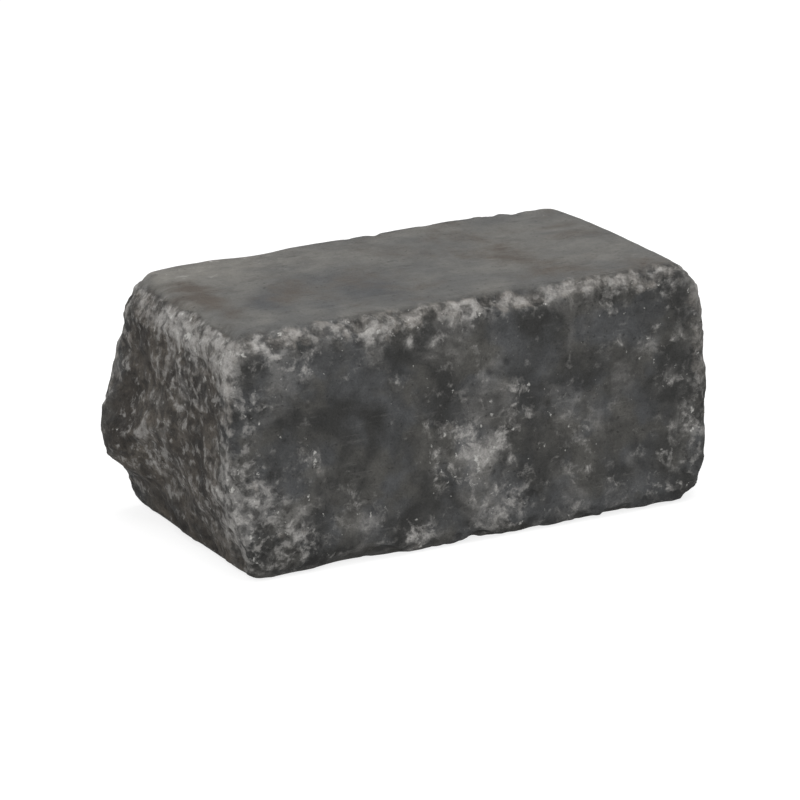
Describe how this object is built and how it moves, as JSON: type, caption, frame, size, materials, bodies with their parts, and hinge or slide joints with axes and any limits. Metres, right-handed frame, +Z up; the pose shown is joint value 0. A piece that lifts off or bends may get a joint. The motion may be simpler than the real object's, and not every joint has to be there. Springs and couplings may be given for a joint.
{
  "type": "tumbled concrete wall block",
  "caption": "Rectangular walling block of dark cast concrete with two flat beds, a flat front and back, rough split ends and arrises worn round by tumbling.",
  "frame": {"origin": "middle of the underside, on the bed that the block lies on", "axes": "+X along the block's length, as it runs in the wall; -Y towards the long face that shows in the wall; +Z up"},
  "size_m": [0.335, 0.18, 0.15],
  "materials": {
    "concrete": "rough cast concrete, coloured anthracite through, with paler worn arrises and lime bloom"
  },
  "bodies": {
    "root": {"wall_block": "concrete"}
  },
  "joints": []
}
